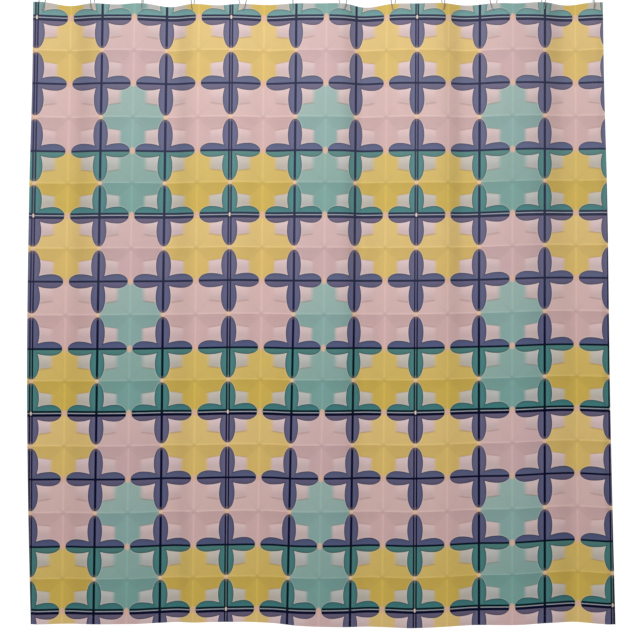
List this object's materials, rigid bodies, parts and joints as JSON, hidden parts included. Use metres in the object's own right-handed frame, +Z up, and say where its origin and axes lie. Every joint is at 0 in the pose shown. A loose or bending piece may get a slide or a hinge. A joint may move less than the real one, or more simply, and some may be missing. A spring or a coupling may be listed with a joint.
{
  "type": "shower curtain",
  "caption": "Printed fabric shower curtain hung on wire snap rings; the cloth folds like a concertina as it is drawn along its rod.",
  "frame": {"origin": "on the axis of the rod that the rings hang on, at the middle of the curtain's width", "axes": "+X along the rod to the right seen from the printed face, +Y away from that face, +Z up"},
  "size_m": [1.7178, 0.0502, 1.9387],
  "materials": {
    "printed_cloth": "woven polyester, matt, printed on the face",
    "hem_cloth": "the same cloth folded double",
    "stitching": "dense polyester thread",
    "ring_wire": "bright plated steel wire",
    "gate_steel": "bright plated steel strip"
  },
  "bodies": {
    "cloth_01": {"panel_01": "printed_cloth", "top_hem_01": "hem_cloth", "buttonhole_01": "stitching"},
    "ring_01": {"ring_01": "ring_wire"},
    "gate_01": {"gate_01": "gate_steel"},
    "cloth_02": {"panel_02": "printed_cloth", "top_hem_02": "hem_cloth", "buttonhole_02": "stitching"},
    "ring_02": {"ring_02": "ring_wire"},
    "gate_02": {"gate_02": "gate_steel"},
    "cloth_03": {"panel_03": "printed_cloth", "top_hem_03": "hem_cloth", "buttonhole_03": "stitching"},
    "ring_03": {"ring_03": "ring_wire"},
    "gate_03": {"gate_03": "gate_steel"},
    "cloth_04": {"panel_04": "printed_cloth", "top_hem_04": "hem_cloth", "buttonhole_04": "stitching"},
    "ring_04": {"ring_04": "ring_wire"},
    "gate_04": {"gate_04": "gate_steel"},
    "cloth_05": {"panel_05": "printed_cloth", "top_hem_05": "hem_cloth", "buttonhole_05": "stitching"},
    "ring_05": {"ring_05": "ring_wire"},
    "gate_05": {"gate_05": "gate_steel"},
    "cloth_06": {"panel_06": "printed_cloth", "top_hem_06": "hem_cloth", "buttonhole_06": "stitching"},
    "ring_06": {"ring_06": "ring_wire"},
    "gate_06": {"gate_06": "gate_steel"},
    "cloth_07": {"panel_07": "printed_cloth", "top_hem_07": "hem_cloth", "buttonhole_07": "stitching"},
    "ring_07": {"ring_07": "ring_wire"},
    "gate_07": {"gate_07": "gate_steel"},
    "cloth_08": {"panel_08": "printed_cloth", "top_hem_08": "hem_cloth", "buttonhole_08": "stitching"},
    "ring_08": {"ring_08": "ring_wire"},
    "gate_08": {"gate_08": "gate_steel"},
    "cloth_09": {"panel_09": "printed_cloth", "top_hem_09": "hem_cloth", "buttonhole_09": "stitching"},
    "ring_09": {"ring_09": "ring_wire"},
    "gate_09": {"gate_09": "gate_steel"},
    "cloth_10": {"panel_10": "printed_cloth", "top_hem_10": "hem_cloth", "buttonhole_10": "stitching"},
    "ring_10": {"ring_10": "ring_wire"},
    "gate_10": {"gate_10": "gate_steel"},
    "cloth_11": {"panel_11": "printed_cloth", "top_hem_11": "hem_cloth", "buttonhole_11": "stitching"},
    "ring_11": {"ring_11": "ring_wire"},
    "gate_11": {"gate_11": "gate_steel"},
    "cloth_12": {"panel_12": "printed_cloth", "top_hem_12": "hem_cloth", "buttonhole_12": "stitching"},
    "ring_12": {"ring_12": "ring_wire"},
    "gate_12": {"gate_12": "gate_steel"}
  },
  "joints": [
    {"name": "draw", "type": "hinge", "parent": "ring_01", "child": "cloth_01", "pos_m": [-0.83215, 0, 0], "axis": [0, 0, 1], "range_deg": [-17, 54]},
    {"name": "fold_01", "type": "hinge", "parent": "cloth_01", "child": "cloth_02", "pos_m": [-0.7565, 0.02412, 0], "axis": [0, 0, 1], "range_deg": [-109, 35]},
    {"name": "fold_02", "type": "hinge", "parent": "cloth_02", "child": "cloth_03", "pos_m": [-0.6052, -0.02412, 0], "axis": [0, 0, 1], "range_deg": [-35, 109]},
    {"name": "fold_03", "type": "hinge", "parent": "cloth_03", "child": "cloth_04", "pos_m": [-0.4539, 0.02412, 0], "axis": [0, 0, 1], "range_deg": [-109, 35]},
    {"name": "fold_04", "type": "hinge", "parent": "cloth_04", "child": "cloth_05", "pos_m": [-0.3026, -0.02412, 0], "axis": [0, 0, 1], "range_deg": [-35, 109]},
    {"name": "fold_05", "type": "hinge", "parent": "cloth_05", "child": "cloth_06", "pos_m": [-0.1513, 0.02412, 0], "axis": [0, 0, 1], "range_deg": [-109, 35]},
    {"name": "fold_06", "type": "hinge", "parent": "cloth_06", "child": "cloth_07", "pos_m": [0, -0.02412, 0], "axis": [0, 0, 1], "range_deg": [-35, 109]},
    {"name": "fold_07", "type": "hinge", "parent": "cloth_07", "child": "cloth_08", "pos_m": [0.1513, 0.02412, 0], "axis": [0, 0, 1], "range_deg": [-109, 35]},
    {"name": "fold_08", "type": "hinge", "parent": "cloth_08", "child": "cloth_09", "pos_m": [0.3026, -0.02412, 0], "axis": [0, 0, 1], "range_deg": [-35, 109]},
    {"name": "fold_09", "type": "hinge", "parent": "cloth_09", "child": "cloth_10", "pos_m": [0.4539, 0.02412, 0], "axis": [0, 0, 1], "range_deg": [-109, 35]},
    {"name": "fold_10", "type": "hinge", "parent": "cloth_10", "child": "cloth_11", "pos_m": [0.6052, -0.02412, 0], "axis": [0, 0, 1], "range_deg": [-35, 109]},
    {"name": "fold_11", "type": "hinge", "parent": "cloth_11", "child": "cloth_12", "pos_m": [0.7565, 0.02412, 0], "axis": [0, 0, 1], "range_deg": [-109, 35]},
    {"name": "ring_swivel_02", "type": "hinge", "parent": "cloth_02", "child": "ring_02", "pos_m": [-0.68085, 0, 0], "axis": [0, 0, 1], "range_deg": [-7.61, 22]},
    {"name": "ring_swivel_03", "type": "hinge", "parent": "cloth_03", "child": "ring_03", "pos_m": [-0.52955, 0, 0], "axis": [0, 0, 1], "range_deg": [-2, 1.31]},
    {"name": "ring_swivel_04", "type": "hinge", "parent": "cloth_04", "child": "ring_04", "pos_m": [-0.37825, 0, 0], "axis": [0, 0, 1], "range_deg": [-7.3, 21]},
    {"name": "ring_swivel_05", "type": "hinge", "parent": "cloth_05", "child": "ring_05", "pos_m": [-0.22695, 0, 0], "axis": [0, 0, 1], "range_deg": [-55, 18]},
    {"name": "ring_swivel_06", "type": "hinge", "parent": "cloth_06", "child": "ring_06", "pos_m": [-0.07565, 0, 0], "axis": [0, 0, 1], "range_deg": [-2.26, 5]},
    {"name": "ring_swivel_07", "type": "hinge", "parent": "cloth_07", "child": "ring_07", "pos_m": [0.07565, 0, 0], "axis": [0, 0, 1], "range_deg": [-55, 18]},
    {"name": "ring_swivel_08", "type": "hinge", "parent": "cloth_08", "child": "ring_08", "pos_m": [0.22695, 0, 0], "axis": [0, 0, 1], "range_deg": [-11.07, 33]},
    {"name": "ring_swivel_09", "type": "hinge", "parent": "cloth_09", "child": "ring_09", "pos_m": [0.37825, 0, 0], "axis": [0, 0, 1], "range_deg": [-19, 6.67]},
    {"name": "ring_swivel_10", "type": "hinge", "parent": "cloth_10", "child": "ring_10", "pos_m": [0.52955, 0, 0], "axis": [0, 0, 1], "range_deg": [-18, 55]},
    {"name": "ring_swivel_11", "type": "hinge", "parent": "cloth_11", "child": "ring_11", "pos_m": [0.68085, 0, 0], "axis": [0, 0, 1], "range_deg": [-21, 7.3]},
    {"name": "ring_swivel_12", "type": "hinge", "parent": "cloth_12", "child": "ring_12", "pos_m": [0.83215, 0, 0], "axis": [0, 0, 1], "range_deg": [-2.26, 5]},
    {"name": "gate_swing_01", "type": "hinge", "parent": "ring_01", "child": "gate_01", "pos_m": [-0.81535, -0.01512, -0.0085], "axis": [0.6691, 0.7431, 0], "range_deg": [0, 35], "stiffness_Nm_per_rad": 0.005, "springref_deg": -17.19},
    {"name": "gate_swing_02", "type": "hinge", "parent": "ring_02", "child": "gate_02", "pos_m": [-0.68746, -0.02161, -0.0085], "axis": [0.9563, -0.2924, 0], "range_deg": [0, 35], "stiffness_Nm_per_rad": 0.005, "springref_deg": -17.19},
    {"name": "gate_swing_03", "type": "hinge", "parent": "ring_03", "child": "gate_03", "pos_m": [-0.53073, -0.02257, -0.0085], "axis": [0.9986, -0.0523, 0], "range_deg": [0, 35], "stiffness_Nm_per_rad": 0.005, "springref_deg": -17.19},
    {"name": "gate_swing_04", "type": "hinge", "parent": "ring_04", "child": "gate_04", "pos_m": [-0.38448, -0.02172, -0.0085], "axis": [0.9613, -0.2756, 0], "range_deg": [0, 35], "stiffness_Nm_per_rad": 0.005, "springref_deg": -17.19},
    {"name": "gate_swing_05", "type": "hinge", "parent": "ring_05", "child": "gate_05", "pos_m": [-0.20964, -0.01453, -0.0085], "axis": [0.6428, 0.766, 0], "range_deg": [0, 35], "stiffness_Nm_per_rad": 0.005, "springref_deg": -17.19},
    {"name": "gate_swing_06", "type": "hinge", "parent": "ring_06", "child": "gate_06", "pos_m": [-0.07565, -0.0226, -0.0085], "axis": [1, 0, 0], "range_deg": [0, 35], "stiffness_Nm_per_rad": 0.005, "springref_deg": -17.19},
    {"name": "gate_swing_07", "type": "hinge", "parent": "ring_07", "child": "gate_07", "pos_m": [0.09296, -0.01453, -0.0085], "axis": [0.6428, 0.766, 0], "range_deg": [0, 35], "stiffness_Nm_per_rad": 0.005, "springref_deg": -17.19},
    {"name": "gate_swing_08", "type": "hinge", "parent": "ring_08", "child": "gate_08", "pos_m": [0.21634, -0.01995, -0.0085], "axis": [0.8829, -0.4695, 0], "range_deg": [0, 35], "stiffness_Nm_per_rad": 0.005, "springref_deg": -17.19},
    {"name": "gate_swing_09", "type": "hinge", "parent": "ring_09", "child": "gate_09", "pos_m": [0.38372, -0.02193, -0.0085], "axis": [0.9703, 0.2419, 0], "range_deg": [0, 35], "stiffness_Nm_per_rad": 0.005, "springref_deg": -17.19},
    {"name": "gate_swing_10", "type": "hinge", "parent": "ring_10", "child": "gate_10", "pos_m": [0.51224, -0.01453, -0.0085], "axis": [0.6428, -0.766, 0], "range_deg": [0, 35], "stiffness_Nm_per_rad": 0.005, "springref_deg": -17.19},
    {"name": "gate_swing_11", "type": "hinge", "parent": "ring_11", "child": "gate_11", "pos_m": [0.68708, -0.02172, -0.0085], "axis": [0.9613, 0.2756, 0], "range_deg": [0, 35], "stiffness_Nm_per_rad": 0.005, "springref_deg": -17.19},
    {"name": "gate_swing_12", "type": "hinge", "parent": "ring_12", "child": "gate_12", "pos_m": [0.83215, -0.0226, -0.0085], "axis": [1, 0, 0], "range_deg": [0, 35], "stiffness_Nm_per_rad": 0.005, "springref_deg": -17.19}
  ],
  "couplings": [
    {"joint": "fold_01", "follows": "draw", "ratio": -2},
    {"joint": "fold_02", "follows": "draw", "ratio": 2},
    {"joint": "fold_03", "follows": "draw", "ratio": -2},
    {"joint": "fold_04", "follows": "draw", "ratio": 2},
    {"joint": "fold_05", "follows": "draw", "ratio": -2},
    {"joint": "fold_06", "follows": "draw", "ratio": 2},
    {"joint": "fold_07", "follows": "draw", "ratio": -2},
    {"joint": "fold_08", "follows": "draw", "ratio": 2},
    {"joint": "fold_09", "follows": "draw", "ratio": -2},
    {"joint": "fold_10", "follows": "draw", "ratio": 2},
    {"joint": "fold_11", "follows": "draw", "ratio": -2},
    {"joint": "ring_swivel_02", "follows": "draw", "ratio": 0.38889},
    {"joint": "ring_swivel_03", "follows": "draw", "ratio": -0.018519},
    {"joint": "ring_swivel_04", "follows": "draw", "ratio": 0.37037},
    {"joint": "ring_swivel_05", "follows": "draw", "ratio": -1},
    {"joint": "ring_swivel_06", "follows": "draw", "ratio": 0.074074},
    {"joint": "ring_swivel_07", "follows": "draw", "ratio": -1},
    {"joint": "ring_swivel_08", "follows": "draw", "ratio": 0.59259},
    {"joint": "ring_swivel_09", "follows": "draw", "ratio": -0.33333},
    {"joint": "ring_swivel_10", "follows": "draw", "ratio": 1},
    {"joint": "ring_swivel_11", "follows": "draw", "ratio": -0.37037},
    {"joint": "ring_swivel_12", "follows": "draw", "ratio": 0.074074}
  ]
}
